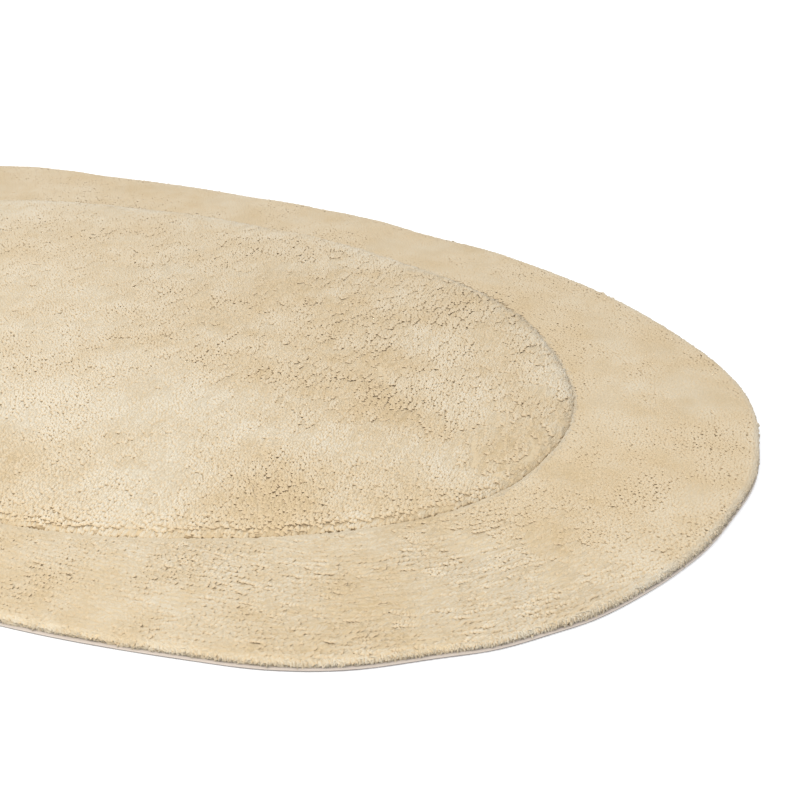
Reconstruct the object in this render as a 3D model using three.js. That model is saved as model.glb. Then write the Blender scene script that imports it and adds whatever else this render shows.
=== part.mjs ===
// An oval tufted cotton rug lying flat, with a raised oval field inside a lower border.
// Millimetres, +Z up. The origin is the middle of the rug's box on the floor, and +X runs along its length.
import * as THREE from "three";

// Driving dimensions of the plan
const LENGTH = 1600;
const WIDTH = 1000;
const END_BORDER = 202;
const SIDE_BORDER = 107;

// Driving heights above the floor
const CANVAS = 1.8;
const HEM = 3.8;
const GAP = 0.3;
const CREASE = 7.2;
const BORDER = 12;
const FIELD = 18.5;

// Fineness of the solids
const COLUMNS = 168;
const FIELD_COLUMNS = 84;
const BORDER_STEPS = 4;
const FIELD_STEPS = 7;

// Where the rug's edge strays from a true oval: out is how far, at each bearing from +X.
const EDGE_STRAY = [
  { bearing: -170, out: 2 },
  { bearing: -152, out: 5 },
  { bearing: -138, out: 3 },
  { bearing: -122, out: -3 },
  { bearing: -104, out: 1 },
  { bearing: -84, out: 2 },
  { bearing: -66, out: 0 },
  { bearing: -56, out: -1 },
  { bearing: -51, out: 1 },
  { bearing: -46, out: 6 },
  { bearing: -41, out: 6 },
  { bearing: -35, out: 0 },
  { bearing: -30, out: 1 },
  { bearing: -25, out: -1 },
  { bearing: -21, out: 0 },
  { bearing: -15, out: -1 },
  { bearing: -9, out: 0 },
  { bearing: -3, out: 2 },
  { bearing: 4, out: 1 },
  { bearing: 11, out: 2 },
  { bearing: 20, out: 0 },
  { bearing: 27, out: 3 },
  { bearing: 35, out: 3 },
  { bearing: 42, out: 0 },
  { bearing: 49, out: 1 },
  { bearing: 57, out: 4 },
  { bearing: 65, out: 6 },
  { bearing: 72, out: 9 },
  { bearing: 79, out: 3 },
  { bearing: 86, out: 12 },
  { bearing: 93, out: 6 },
  { bearing: 102, out: -3 },
  { bearing: 111, out: -5 },
  { bearing: 119, out: -7 },
  { bearing: 126, out: 3 },
  { bearing: 131, out: 11 },
  { bearing: 138, out: 15 },
  { bearing: 148, out: 10 },
  { bearing: 160, out: 5 },
];

// The same for the carved crease around the field. Its depth runs from 0, soft, to 1, crisp.
const CREASE_STRAY = [
  { bearing: -160, out: 3, depth: 0.6 },
  { bearing: -132, out: 6, depth: 0.7 },
  { bearing: -110, out: 1, depth: 0.6 },
  { bearing: -90, out: 6, depth: 0.7 },
  { bearing: -72, out: 9, depth: 0.8 },
  { bearing: -58, out: 6, depth: 0.7 },
  { bearing: -46, out: -3, depth: 0.6 },
  { bearing: -34, out: -3, depth: 0.7 },
  { bearing: -26, out: 1, depth: 0.8 },
  { bearing: -18, out: 4, depth: 0.9 },
  { bearing: -9, out: 7, depth: 1 },
  { bearing: 2, out: 4, depth: 0.9 },
  { bearing: 12, out: 3, depth: 0.5 },
  { bearing: 24, out: 1, depth: 0.2 },
  { bearing: 36, out: -1, depth: 0.1 },
  { bearing: 48, out: 6, depth: 0.2 },
  { bearing: 62, out: 6, depth: 0.4 },
  { bearing: 74, out: -2, depth: 0.5 },
  { bearing: 86, out: -5, depth: 0.6 },
  { bearing: 98, out: -13, depth: 0.5 },
  { bearing: 112, out: -15, depth: 0.6 },
  { bearing: 128, out: -9, depth: 0.7 },
  { bearing: 146, out: 4, depth: 0.6 },
  { bearing: 170, out: 1, depth: 0.5 },
];

// Both ovals: power 2 is an ellipse, and more is squarer.
const RUG_EDGE = {
  centre: { x: 0, y: 0 },
  halfLength: LENGTH / 2,
  halfWidth: WIDTH / 2,
  power: 2.34,
  stray: EDGE_STRAY,
};
const FIELD_EDGE = {
  centre: { x: 8, y: 5 },
  halfLength: LENGTH / 2 - END_BORDER,
  halfWidth: WIDTH / 2 - SIDE_BORDER,
  power: 2.1,
  stray: CREASE_STRAY,
};

// Section of the canvas from the floor over its turned hem to the plate that carries the pile.
const HEM_SECTION = [
  { inset: 5, height: 0 },
  { inset: 0.6, height: 1.2 },
  { inset: 0, height: 1.9 },
  { inset: 0, height: 2.7 },
  { inset: 1, height: HEM },
  { inset: 3, height: HEM },
  { inset: 4.4, height: 2.9 },
  { inset: 4.6, height: CANVAS },
];

// Section of the pile's rim from the canvas up to the border. The rim's lumps reach loose times RIM_LUMP.
const RIM_LUMP = 1.3;
const RIM_SECTION = [
  { inset: 5.2, height: CANVAS + GAP, loose: 0 },
  { inset: 4.4, height: HEM + GAP, loose: 0 },
  { inset: 1.9, height: HEM + 0.7, loose: 1 },
  { inset: 1.3, height: 8.4, loose: 1 },
  { inset: 2.9, height: 11.2, loose: 1 },
  { inset: 8, height: BORDER - 0.1, loose: 0 },
  { inset: 20, height: BORDER, loose: 0 },
];

// Section across the crease, from the border to the field. A soft crease has the heights of softHeight.
const CREASE_SECTION = [
  { inset: -26, height: BORDER, softHeight: BORDER },
  { inset: -12, height: BORDER - 0.3, softHeight: BORDER - 0.8 },
  { inset: -3.4, height: BORDER - 1.3, softHeight: BORDER - 1.3 },
  { inset: -0.8, height: CREASE + 0.4, softHeight: BORDER - 1.2 },
  { inset: 1, height: CREASE, softHeight: BORDER - 0.8 },
  { inset: 3.2, height: 13.2, softHeight: 12 },
  { inset: 10, height: 17, softHeight: 14.8 },
  { inset: 28, height: FIELD, softHeight: FIELD },
];

// Low waves that the pile lies in
const WAVES = [
  { wavelength: 570, heading: 25, height: 0.5, start: 0.4 },
  { wavelength: 345, heading: 78, height: 0.45, start: 2.1 },
  { wavelength: 240, heading: -38, height: 0.4, start: 4.4 },
  { wavelength: 165, heading: 52, height: 0.35, start: 1.3 },
];
const BORDER_WAVES = 0.5;

// Places where the pile stands fuller or flatter than around them, as low round swells
const SWELLS = [
  { x: -590, y: 400, reach: 150, height: 2.4 },
  { x: 330, y: 455, reach: 120, height: 0.8 },
  { x: 640, y: -180, reach: 110, height: -0.5 },
];

const PILE_COLOUR = 0xe0ceaf;
const CANVAS_COLOUR = 0xd8d0c8;

const TURN = 2 * Math.PI;

// One column of a table at any bearing, as a smooth curve through its rows that closes on itself.
function tableAt(rows, column, bearing) {
  const degrees = THREE.MathUtils.radToDeg(bearing);
  const count = rows.length;
  const wrapped = (index) => {
    const laps = Math.floor(index / count);
    const row = rows[index - laps * count];
    return { bearing: row.bearing + 360 * laps, value: row[column] };
  };
  const slope = (index) => {
    const before = wrapped(index - 1);
    const after = wrapped(index + 1);
    return (after.value - before.value) / (after.bearing - before.bearing);
  };
  let next = rows.findIndex((row) => row.bearing > degrees);
  if (next < 0) next = count;
  const from = wrapped(next - 1);
  const to = wrapped(next);
  const span = to.bearing - from.bearing;
  const u = (degrees - from.bearing) / span;
  const ease = u * u * (3 - 2 * u);
  const leave = u * (1 - u) * (1 - u) * span * slope(next - 1);
  const arrive = u * u * (u - 1) * span * slope(next);
  return from.value + (to.value - from.value) * ease + leave + arrive;
}

// The bearings of a ring of columns, from -180 to 180 degrees.
function bearings(columns) {
  return Array.from({ length: columns }, (_, j) => -Math.PI + ((j + 0.5) * TURN) / columns);
}

// A point of an oval's edge at a bearing, moved inwards by inset along the edge's normal.
function edgePoint(oval, bearing, inset) {
  const { centre, halfLength, halfWidth, power } = oval;
  const across = Math.cos(bearing);
  const along = Math.sin(bearing);
  const reach = (Math.abs(across) ** power + Math.abs(along) ** power) ** (-1 / power);
  const u = reach * across;
  const v = reach * along;
  const normal = new THREE.Vector2(
    (Math.sign(u) * Math.abs(u) ** (power - 1)) / halfLength,
    (Math.sign(v) * Math.abs(v) ** (power - 1)) / halfWidth,
  ).normalize();
  const out = tableAt(oval.stray, "out", bearing) - inset;
  return new THREE.Vector2(
    centre.x + halfLength * u + normal.x * out,
    centre.y + halfWidth * v + normal.y * out,
  );
}

// How far the low waves lift the pile at a place.
function waves(place) {
  return WAVES.reduce((lift, wave) => {
    const heading = THREE.MathUtils.degToRad(wave.heading);
    const distance = place.x * Math.cos(heading) + place.y * Math.sin(heading);
    return lift + wave.height * Math.sin((TURN * distance) / wave.wavelength + wave.start);
  }, 0);
}

// How far the swells lift the pile at a place.
function swells(place) {
  return SWELLS.reduce((lift, { x, y, reach, height }) => {
    const away = Math.hypot(place.x - x, place.y - y) / reach;
    return lift + height * Math.exp(-away * away);
  }, 0);
}

// A repeatable number from -1 to 1 for each column of the rim.
function lump(index) {
  return 2 * THREE.MathUtils.seededRandom(index) - 1;
}

// Rings of points from place and height functions
function ring(columns, placeAt, heightAt) {
  return bearings(columns).map((bearing, index) => {
    const place = placeAt(bearing, index);
    return new THREE.Vector3(place.x, place.y, heightAt(place, bearing));
  });
}

function levelRing(columns, oval, inset, height) {
  return ring(
    columns,
    (bearing) => edgePoint(oval, bearing, inset),
    () => height,
  );
}

// A closed body from rings that run from the middle of its underside, out and up, to the middle of its top.
// Two neighbouring rings may differ in their number of points.
function bodyFromRings(rings, lowMiddle, highMiddle) {
  const points = [lowMiddle, ...rings.flat(), highMiddle];
  const starts = [];
  let start = 1;
  for (const members of rings) {
    starts.push(start);
    start += members.length;
  }
  const faces = [];
  rings.slice(1).forEach((upper, index) => {
    const lower = rings[index];
    const lowStart = starts[index];
    const highStart = starts[index + 1];
    let i = 0;
    let k = 0;
    while (i < lower.length || k < upper.length) {
      const low = lowStart + (i % lower.length);
      const high = highStart + (k % upper.length);
      if ((i + 1) / lower.length <= (k + 1) / upper.length) {
        i += 1;
        faces.push(low, lowStart + (i % lower.length), high);
      } else {
        k += 1;
        faces.push(low, highStart + (k % upper.length), high);
      }
    }
  });
  const first = rings[0].length;
  const last = rings[rings.length - 1].length;
  const lastStart = starts[starts.length - 1];
  for (let i = 0; i < first; i += 1) faces.push(0, 1 + ((i + 1) % first), 1 + i);
  for (let i = 0; i < last; i += 1) {
    faces.push(points.length - 1, lastStart + i, lastStart + ((i + 1) % last));
  }
  const geometry = new THREE.BufferGeometry().setFromPoints(points);
  geometry.setIndex(faces);
  geometry.computeVertexNormals();
  return geometry;
}

// The woven canvas under the pile, with its edge turned into a hem that shows below the pile's rim.
function canvasBody() {
  const rings = HEM_SECTION.map(({ inset, height }) => levelRing(COLUMNS, RUG_EDGE, inset, height));
  const { x, y } = RUG_EDGE.centre;
  return bodyFromRings(rings, new THREE.Vector3(x, y, 0), new THREE.Vector3(x, y, CANVAS));
}

// The cut pile: a lumpy slab with a rounded rim, a level border, a carved crease and a raised field.
function pileBody() {
  const rim = RIM_SECTION.map(({ inset, height, loose }) =>
    ring(
      COLUMNS,
      (bearing, index) => edgePoint(RUG_EDGE, bearing, inset + loose * RIM_LUMP * lump(index)),
      (place) => {
        const share = Math.max(0, height - HEM - GAP) / (BORDER - HEM - GAP);
        return height + share * swells(place) + (height < BORDER ? 0 : BORDER_WAVES * waves(place));
      },
    ),
  );
  const innermostRim = RIM_SECTION[RIM_SECTION.length - 1].inset;
  const outermostCrease = CREASE_SECTION[0].inset;
  const border = [];
  for (let step = 1; step < BORDER_STEPS; step += 1) {
    const share = step / BORDER_STEPS;
    border.push(
      ring(
        COLUMNS,
        (bearing) =>
          edgePoint(RUG_EDGE, bearing, innermostRim).lerp(
            edgePoint(FIELD_EDGE, bearing, outermostCrease),
            share,
          ),
        (place) => BORDER + BORDER_WAVES * waves(place) + swells(place),
      ),
    );
  }
  const crease = CREASE_SECTION.map(({ inset, height, softHeight }) =>
    ring(
      COLUMNS,
      (bearing) => edgePoint(FIELD_EDGE, bearing, inset),
      (place, bearing) => {
        const depth = tableAt(CREASE_STRAY, "depth", bearing);
        const share = inset > 0 ? 1 : BORDER_WAVES;
        const section = THREE.MathUtils.lerp(softHeight, height, depth);
        return section + share * waves(place) + swells(place);
      },
    ),
  );
  const innermostCrease = CREASE_SECTION[CREASE_SECTION.length - 1].inset;
  const fieldMiddle = new THREE.Vector2(FIELD_EDGE.centre.x, FIELD_EDGE.centre.y);
  const field = [];
  for (let step = 1; step < FIELD_STEPS; step += 1) {
    field.push(
      ring(
        FIELD_COLUMNS,
        (bearing) =>
          edgePoint(FIELD_EDGE, bearing, innermostCrease).lerp(fieldMiddle, step / FIELD_STEPS),
        (place) => FIELD + waves(place) + swells(place),
      ),
    );
  }
  return bodyFromRings(
    [...rim, ...border, ...crease, ...field],
    new THREE.Vector3(RUG_EDGE.centre.x, RUG_EDGE.centre.y, CANVAS + GAP),
    new THREE.Vector3(fieldMiddle.x, fieldMiddle.y, FIELD + waves(fieldMiddle) + swells(fieldMiddle)),
  );
}

const rug = new THREE.Group();

const canvasBacking = new THREE.Mesh(
  canvasBody(),
  new THREE.MeshStandardMaterial({ color: CANVAS_COLOUR, roughness: 0.9, metalness: 0 }),
);
canvasBacking.name = "canvas_backing";
rug.add(canvasBacking);

const tuftedPile = new THREE.Mesh(
  pileBody(),
  new THREE.MeshStandardMaterial({ color: PILE_COLOUR, roughness: 0.95, metalness: 0 }),
);
tuftedPile.name = "tufted_pile";
rug.add(tuftedPile);

// The edge strays from its oval, so the rug is moved until the middle of its box is the origin.
const boxMiddle = new THREE.Box3().setFromObject(rug).getCenter(new THREE.Vector3());
rug.position.set(-boxMiddle.x, -boxMiddle.y, 0);

export default rug;
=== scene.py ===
"""An oval tufted cotton rug lying flat: a raised oval field, a carved crease and a lower border, on canvas.

The plan is worked out in millimetres, as in the part's source, and meshes are made from it in metres.
"""

import math

import bmesh
import bpy
import numpy as np
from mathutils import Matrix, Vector


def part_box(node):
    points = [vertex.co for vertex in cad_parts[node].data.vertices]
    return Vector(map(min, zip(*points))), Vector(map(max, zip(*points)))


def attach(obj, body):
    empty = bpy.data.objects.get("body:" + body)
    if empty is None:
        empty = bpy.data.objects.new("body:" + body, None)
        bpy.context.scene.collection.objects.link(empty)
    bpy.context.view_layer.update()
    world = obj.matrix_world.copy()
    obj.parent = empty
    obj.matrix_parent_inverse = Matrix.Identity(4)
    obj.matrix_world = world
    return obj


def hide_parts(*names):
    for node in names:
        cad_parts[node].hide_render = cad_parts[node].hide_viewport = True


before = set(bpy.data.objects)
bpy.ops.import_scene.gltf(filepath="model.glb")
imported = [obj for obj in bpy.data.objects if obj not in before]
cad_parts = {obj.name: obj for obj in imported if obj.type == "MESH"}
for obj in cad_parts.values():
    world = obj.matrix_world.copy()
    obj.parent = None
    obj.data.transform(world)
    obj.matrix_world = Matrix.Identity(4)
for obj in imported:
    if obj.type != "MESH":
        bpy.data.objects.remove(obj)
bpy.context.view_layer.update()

MM = 0.001

# Plan of the rug
LENGTH = 1600
WIDTH = 1000
END_BORDER = 202
SIDE_BORDER = 107

# Heights above the floor
CANVAS = 1.8
HEM = 3.8
GAP = 0.3
CREASE = 7.2
BORDER = 12
FIELD = 18.5

# Where the rug's edge strays from a true oval: out is how far, at each bearing from +X.
EDGE_STRAY = [
    {"bearing": -170, "out": 2},
    {"bearing": -152, "out": 5},
    {"bearing": -138, "out": 3},
    {"bearing": -122, "out": -3},
    {"bearing": -104, "out": 1},
    {"bearing": -84, "out": 2},
    {"bearing": -66, "out": 0},
    {"bearing": -56, "out": -1},
    {"bearing": -51, "out": 1},
    {"bearing": -46, "out": 6},
    {"bearing": -41, "out": 6},
    {"bearing": -35, "out": 0},
    {"bearing": -30, "out": 1},
    {"bearing": -25, "out": -1},
    {"bearing": -21, "out": 0},
    {"bearing": -15, "out": -1},
    {"bearing": -9, "out": 0},
    {"bearing": -3, "out": 2},
    {"bearing": 4, "out": 1},
    {"bearing": 11, "out": 2},
    {"bearing": 20, "out": 0},
    {"bearing": 27, "out": 3},
    {"bearing": 35, "out": 3},
    {"bearing": 42, "out": 0},
    {"bearing": 49, "out": 1},
    {"bearing": 57, "out": 4},
    {"bearing": 65, "out": 6},
    {"bearing": 72, "out": 9},
    {"bearing": 79, "out": 3},
    {"bearing": 86, "out": 12},
    {"bearing": 93, "out": 6},
    {"bearing": 102, "out": -3},
    {"bearing": 111, "out": -5},
    {"bearing": 119, "out": -7},
    {"bearing": 126, "out": 3},
    {"bearing": 131, "out": 11},
    {"bearing": 138, "out": 15},
    {"bearing": 148, "out": 10},
    {"bearing": 160, "out": 5},
]

# The same for the carved crease around the field. Its depth runs from 0, soft, to 1, crisp, and gap is how
# far the border's locks keep back from it.
CREASE_STRAY = [
    {"bearing": -160, "out": 3, "depth": 0.6, "gap": 0.5},
    {"bearing": -132, "out": 6, "depth": 0.7, "gap": 0.7},
    {"bearing": -110, "out": 1, "depth": 0.6, "gap": 1.2},
    {"bearing": -90, "out": 6, "depth": 0.7, "gap": 1.4},
    {"bearing": -72, "out": 9, "depth": 0.8, "gap": 1.5},
    {"bearing": -58, "out": 6, "depth": 0.7, "gap": 1.5},
    {"bearing": -46, "out": -3, "depth": 0.6, "gap": 1.5},
    {"bearing": -34, "out": -3, "depth": 0.7, "gap": 1.3},
    {"bearing": -26, "out": 1, "depth": 0.8, "gap": 1},
    {"bearing": -18, "out": 4, "depth": 0.9, "gap": 0.6},
    {"bearing": -9, "out": 7, "depth": 1, "gap": 0.1},
    {"bearing": 2, "out": 4, "depth": 0.9, "gap": -0.3},
    {"bearing": 12, "out": 3, "depth": 0.5, "gap": -0.5},
    {"bearing": 24, "out": 1, "depth": 0.2, "gap": -0.8},
    {"bearing": 36, "out": -1, "depth": 0.1, "gap": -0.9},
    {"bearing": 48, "out": 6, "depth": 0.2, "gap": -0.8},
    {"bearing": 62, "out": 6, "depth": 0.4, "gap": -0.5},
    {"bearing": 74, "out": -2, "depth": 0.5, "gap": 0},
    {"bearing": 86, "out": -5, "depth": 0.6, "gap": 0.3},
    {"bearing": 98, "out": -13, "depth": 0.5, "gap": 0.3},
    {"bearing": 112, "out": -15, "depth": 0.6, "gap": 0.5},
    {"bearing": 128, "out": -9, "depth": 0.7, "gap": 0.6},
    {"bearing": 146, "out": 4, "depth": 0.6, "gap": 0.6},
    {"bearing": 170, "out": 1, "depth": 0.5, "gap": 0.5},
]

# Both ovals: power 2 is an ellipse, and more is squarer.
RUG_EDGE = {
    "centre": (0, 0),
    "half": (LENGTH / 2, WIDTH / 2),
    "power": 2.34,
    "stray": EDGE_STRAY,
}
FIELD_EDGE = {
    "centre": (8, 5),
    "half": (LENGTH / 2 - END_BORDER, WIDTH / 2 - SIDE_BORDER),
    "power": 2.1,
    "stray": CREASE_STRAY,
}

# Section of the canvas from the floor over its turned hem to the plate that carries the pile. The last column
# is 0 where the foot of the hem is painted dark, as shade standing in for its contact shadow on the floor.
HEM_SECTION = [
    {"inset": 40, "height": 0, "unshaded": 1},
    {"inset": 5, "height": 0, "unshaded": 1},
    {"inset": 1.6, "height": 0.1, "unshaded": 0},
    {"inset": 0.5, "height": 0.8, "unshaded": 0},
    {"inset": 0.1, "height": 1.6, "unshaded": 0},
    {"inset": 0, "height": 2.1, "unshaded": 0.6},
    {"inset": 0, "height": 2.8, "unshaded": 1},
    {"inset": 0.3, "height": 3.4, "unshaded": 1},
    {"inset": 1, "height": HEM, "unshaded": 1},
    {"inset": 3, "height": HEM, "unshaded": 1},
    {"inset": 4.4, "height": 2.9, "unshaded": 1},
    {"inset": 4.8, "height": CANVAS, "unshaded": 1},
]

# How far the top of the pile drops towards the rug's edge
RIM_DROP = [
    {"inset": 1.3, "drop": 3.6},
    {"inset": 2.9, "drop": 0.8},
    {"inset": 8, "drop": 0.1},
    {"inset": 20, "drop": 0},
]

# Section across the crease, from the border to the field, where it is crisp and where it is soft
CREASE_SECTION = [
    {"inset": -26, "height": BORDER, "soft_height": BORDER},
    {"inset": -12, "height": BORDER - 0.3, "soft_height": BORDER - 0.8},
    {"inset": -3.4, "height": BORDER - 1.3, "soft_height": BORDER - 1.3},
    {"inset": -0.8, "height": CREASE + 0.4, "soft_height": BORDER - 1.2},
    {"inset": 1, "height": CREASE, "soft_height": BORDER - 0.8},
    {"inset": 3.2, "height": 13.2, "soft_height": 12},
    {"inset": 10, "height": 17, "soft_height": 14.8},
    {"inset": 28, "height": FIELD, "soft_height": FIELD},
]

# Low waves that the pile lies in
WAVES = [
    {"wavelength": 570, "heading": 25, "height": 0.5, "start": 0.4},
    {"wavelength": 345, "heading": 78, "height": 0.45, "start": 2.1},
    {"wavelength": 240, "heading": -38, "height": 0.4, "start": 4.4},
    {"wavelength": 165, "heading": 52, "height": 0.35, "start": 1.3},
]
BORDER_WAVES = 0.5

# Places where the pile stands fuller or flatter than around them, as low round swells
SWELLS = [
    {"x": -590, "y": 400, "reach": 150, "height": 2.4},
    {"x": 330, "y": 455, "reach": 120, "height": 0.8},
    {"x": 640, "y": -180, "reach": 110, "height": -0.5},
]

# Places where the pile is lighter and smoother than around them or, with light under 0, browner and rougher
PATCHES = [
    {"x": -180, "y": 260, "reach": 70, "light": -0.12},
    {"x": -87, "y": 284, "reach": 80, "light": -0.15},
    {"x": 81, "y": -20, "reach": 45, "light": -0.15},
    {"x": 214, "y": 21, "reach": 50, "light": -0.12},
    {"x": 136, "y": 208, "reach": 45, "light": -0.12},
    {"x": 189, "y": 287, "reach": 60, "light": -0.15},
    {"x": 387, "y": 283, "reach": 70, "light": -0.25},
    {"x": 321, "y": 296, "reach": 50, "light": -0.15},
    {"x": 368, "y": 95, "reach": 30, "light": -0.3},
    {"x": 418, "y": 23, "reach": 30, "light": -0.2},
    {"x": 493, "y": 119, "reach": 40, "light": -0.2},
    {"x": 404, "y": -28, "reach": 30, "light": -0.15},
    {"x": 378, "y": -138, "reach": 35, "light": -0.2},
    {"x": 441, "y": -210, "reach": 40, "light": -0.3},
    {"x": 203, "y": -306, "reach": 50, "light": -0.25},
    {"x": 566, "y": -145, "reach": 30, "light": -0.3},
    {"x": 572, "y": -4, "reach": 35, "light": -0.2},
    {"x": 687, "y": -112, "reach": 35, "light": -0.2},
    {"x": 622, "y": -299, "reach": 55, "light": -0.15},
    {"x": 552, "y": -356, "reach": 45, "light": -0.15},
    {"x": 667, "y": 2, "reach": 30, "light": -0.12},
    {"x": 601, "y": -141, "reach": 30, "light": -0.1},
    {"x": -248, "y": 172, "reach": 60, "light": -0.08},
    {"x": 311, "y": -381, "reach": 50, "light": -0.12},
    {"x": -34, "y": -46, "reach": 60, "light": 0.1},
    {"x": 159, "y": -156, "reach": 70, "light": 0.2},
    {"x": 307, "y": -258, "reach": 60, "light": 0.25},
    {"x": 496, "y": -172, "reach": 30, "light": 0.2},
    {"x": 426, "y": -104, "reach": 35, "light": 0.15},
    {"x": 42, "y": -114, "reach": 50, "light": 0.1},
    {"x": 667, "y": -164, "reach": 30, "light": 0.15},
    {"x": 237, "y": -102, "reach": 50, "light": 0.08},
    {"x": 565, "y": 275, "reach": 26, "light": 0.12},
    {"x": 618, "y": 215, "reach": 26, "light": 0.12},
    {"x": 200, "y": -450, "reach": 120, "light": 0.1},
    {"x": 150, "y": 100, "reach": 120, "light": -0.07},
    {"x": 480, "y": 250, "reach": 50, "light": -0.1},
    {"x": -150, "y": 460, "reach": 110, "light": 0.12},
    {"x": 632, "y": 115, "reach": 40, "light": 0.1},
    {"x": 480, "y": 10, "reach": 25, "light": 0.1},
    {"x": 98, "y": -198, "reach": 50, "light": 0.12},
]

# Where the pile parts: each is a short line along which the locks stand lower and lean away from it.
PARTINGS = [
    [(538, 3), (547, -14), (559, -28), (567, -46)],
    [(584, 35), (597, 21), (602, 4), (599, -9), (594, -18)],
    [(420, -189), (432, -207), (446, -219), (456, -235), (471, -247)],
    [(361, 87), (382, 70), (395, 43)],
    [(585, -57), (592, -47), (602, -45)],
    [(577, -139), (577, -124), (586, -114), (596, -103)],
    [(371, -117), (382, -140), (401, -156)],
]
PARTING_REACH = 4.5
PARTING_DEPTH = 1.8

# How the rows of locks are set: the heading of the field's in degrees from +X, how far apart rows are, the
# steps along a row, and how far the locks stray from their places, as a share of both
FIELD_ROW_HEADING = 108
FIELD_ROW = 2.45
FIELD_STEP = 4.4
RIM_ROW = 1.7
BORDER_ROW = 3.45
BORDER_STEP = 2.6
CREASE_ROW = 2.3
LOOSE = 0.42
CREASE_LOOSE = 0.2

# Where the rows round the rug begin and end, by their run: over the rim, over the border, and on the border's
# side of the crease. The border's rows stop at an inset from the crease about where the crease's own begin.
RIM_RUNS = (0.4, 10)
BORDER_RUNS = (11.6, END_BORDER + 24)
CREASE_RUNS = (-6.3, -1)
BORDER_STOP = -6

# The face that the border's locks stand on, by their run from the hem up over the rim and inwards. Tilt is in
# degrees from upright, and a lock over 90 hangs down.
BORDER_FACE = [
    {"run": 0, "inset": 0.9, "drop": 8, "tilt": 112},
    {"run": 2, "inset": 0.9, "drop": 6, "tilt": 92},
    {"run": 4, "inset": 1.2, "drop": 3.8, "tilt": 74},
    {"run": 6, "inset": 2.2, "drop": 2, "tilt": 52},
    {"run": 8, "inset": 3.8, "drop": 0.8, "tilt": 30},
    {"run": 12, "inset": 7.7, "drop": 0.15, "tilt": 8},
    {"run": 20, "inset": 15.7, "drop": 0, "tilt": 0},
    {"run": 420, "inset": 415.7, "drop": 0, "tilt": 0},
]

# The same on the border's side of the crease
CREASE_FACE = [
    {"run": -10, "inset": -10, "tilt": 0},
    {"run": -3, "inset": -3, "tilt": 0},
    {"run": 0, "inset": 0, "tilt": -12},
]

# Over the first tilt a lock always points along its row, and over the second it belongs to the rim.
IN_LINE_TILT = 20
RIM_TILT = 30

# The share of the border's clumps whose locks point along their row all the same, on its near side
IN_LINE = [{"y": -200, "share": 0.75}, {"y": -100, "share": 0}]

# An inset from the rug's edge that is past the rim, and the inset of the crease's lip on the border's side
PAST_RIM = 200.0
CREASE_LIP = -3.4

# How far inside the crease the field's locks begin, and how far in they are rougher, more upright, drawn
# outwards and darker than the rest, the darkening being painted shade along the crease
SHOULDER_INSET = 1.2
SHOULDER_ROUGH = 7
SHOULDER_LEAN = 9
SHOULDER_PULL = 10
SHOULDER_DARK = 13

# Half the length and half the width of the locks, each drawn between two sizes
FIELD_LOCK = {"half_length": (4.4, 6.8), "half_width": (2.2, 3.1)}
BORDER_LOCK = {"half_length": (3.8, 5.8), "half_width": (2.1, 2.8)}
CREASE_LOCK = {"half_length": (3, 4.8), "half_width": (2, 2.6)}

# How much smaller the locks of the rim are
RIM_LOCKS = [
    {"tilt": 20, "length": 1, "width": 1},
    {"tilt": 60, "length": 0.65, "width": 0.75},
    {"tilt": 100, "length": 0.42, "width": 0.75},
]

# How far the locks stand out of the ground of the pile
FIELD_STAND = 3.2
BORDER_STAND = 2.4

# The share of the rim's locks that stick out, and how far they do
STRAY_LOCKS = 0.012
STRAY_REACH = (0.8, 2)

# The clumps that the locks draw together into, by their length and width, and how high they stand out. The
# mean height of a clump's dome is taken off it again, so that the pile keeps its own height.
FIELD_CLUMP = (25, 6.8)
FIELD_RELIEF = 1
BORDER_CLUMP = (20, 4.5)
BORDER_RELIEF = 0.9
CREASE_RELIEF = 0.5
DOME_MEAN = 0.9

# How far the locks draw to the middle of their clump, as a share of the way, how far they draw away from a
# parting, and how far outwards on the field's shoulder
CLUMP_PULL = 0.35
PARTING_PULL = 0.8
SHOULDER_OUT = 3

# How light the locks are, from dark at 0 to light at 1, and how far single locks stray from it
FIELD_TONE = 0.65
BORDER_TONE = 0.5
CREASE_TONE = 0.52
TONE_SPREAD = 0.14

# How rough the pile is: as usual, less for each unit that it is lighter, and between the least and the most
FIELD_ROUGH = {"usual": 0.55, "smoother": 1.1, "least": 0.12, "most": 0.9}
BORDER_ROUGH = {"usual": 0.7, "smoother": 1.2, "least": 0.1, "most": 1}
CREASE_ROUGH = {"usual": 0.6, "smoother": 1.6, "least": 0.2, "most": 1.1}
RIM_ROUGH = 0.3

# The rows of tufts that show in the near border: how far apart they are, where the first is, how high they
# stand out, and how far the locks draw towards them
TUFTING_ROW = 6.9
TUFTING_START = 1.3
TUFTING_RELIEF = 0.8
TUFTING_PULL = 0.35

# The way that the pile is brushed, in degrees from +X, and its turn for each millimetre along +X and +Y. The
# border's is turned from the field's.
BRUSHED_HEADING = 124
BRUSHED_TURN = (-0.038, 0.02)
BORDER_TURN = -0.2

# How far the field's locks lean the way that they are brushed
FIELD_LEAN = 2

# How the field's look changes over the rug. Mottle is how far its light and dark places part, texture how
# clearly its clumps show, share how much of that is left on the near side, and width how much wider the locks
# are than usual.
FIELD_MOTTLE = [{"x": -150, "mottle": 0.13}, {"x": 250, "mottle": 0.24}]
FIELD_TEXTURE = [{"x": -150, "texture": 0.35}, {"x": 330, "texture": 1.05}]
FIELD_ACROSS = [{"y": -250, "share": 0.4}, {"y": 50, "share": 1}]
FIELD_WIDTH = [{"x": -300, "width": 1.2}, {"x": 0, "width": 1}]

# The same for the border, from its near side to its far side
BORDER_LOOK = [
    {"y": -420, "texture": 0.7, "width": 1.05},
    {"y": -300, "texture": 1.3, "width": 0.85},
    {"y": -150, "texture": 0.9, "width": 1},
    {"y": 60, "texture": 0.2, "width": 1.3},
]

# The part of the field's edge that is rougher: the bearing of its middle, and how far in it reaches
ROUGH_BEARING = 50
ROUGH_REACH = 40

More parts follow.
